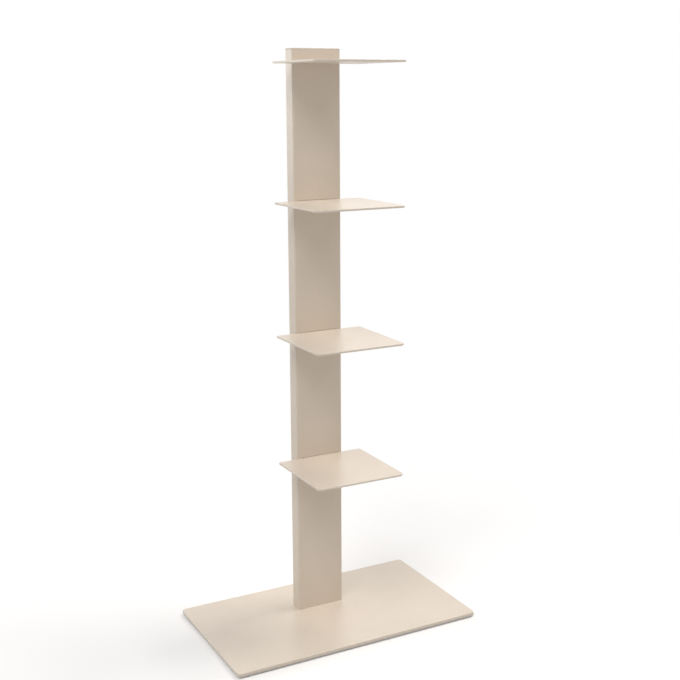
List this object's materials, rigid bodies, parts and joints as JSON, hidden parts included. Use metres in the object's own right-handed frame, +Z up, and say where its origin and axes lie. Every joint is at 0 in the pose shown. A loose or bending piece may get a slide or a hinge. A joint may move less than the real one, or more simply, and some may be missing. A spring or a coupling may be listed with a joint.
{
  "type": "spine bookshelf",
  "caption": "Slim flat steel column on a rectangular base plate, with flat shelf plates that plug into slots to carry stacks of lying books.",
  "frame": {"origin": "on the floor, under the middle of the base plate", "axes": "+X along the base plate's long side, -Y to the front, where the shelf plates stick out, +Z up"},
  "size_m": [0.43, 0.244, 0.9265],
  "materials": {
    "base_coat": "satin warm off-white powder coat",
    "column_coat": "satin warm off-white powder coat",
    "shelf_coat": "satin warm off-white powder coat",
    "bare_steel": "sawn and milled",
    "zinc_steel": "zinc plated",
    "plug_plastic": "fine matt",
    "pad_rubber": "matt"
  },
  "bodies": {
    "stand": {"base_plate": "base_coat", "column_tube": "column_coat", "column_foot_block": "bare_steel", "column_screws": "zinc_steel", "column_top_plug": "plug_plastic", "pad_front_left": "pad_rubber", "pad_back_left": "pad_rubber", "pad_front_right": "pad_rubber", "pad_back_right": "pad_rubber"},
    "shelf_1": {"shelf_plate_1": "shelf_coat"},
    "shelf_2": {"shelf_plate_2": "shelf_coat"},
    "shelf_3": {"shelf_plate_3": "shelf_coat"},
    "shelf_4": {"shelf_plate_4": "shelf_coat"}
  },
  "joints": [
    {"name": "shelf_1_pull_out", "type": "slide", "parent": "stand", "child": "shelf_1", "axis": [0, -1, 0], "range_m": [0, 0.04]},
    {"name": "shelf_2_pull_out", "type": "slide", "parent": "stand", "child": "shelf_2", "axis": [0, -1, 0], "range_m": [0, 0.04]},
    {"name": "shelf_3_pull_out", "type": "slide", "parent": "stand", "child": "shelf_3", "axis": [0, -1, 0], "range_m": [0, 0.04]},
    {"name": "shelf_4_pull_out", "type": "slide", "parent": "stand", "child": "shelf_4", "axis": [0, -1, 0], "range_m": [0, 0.04]}
  ]
}
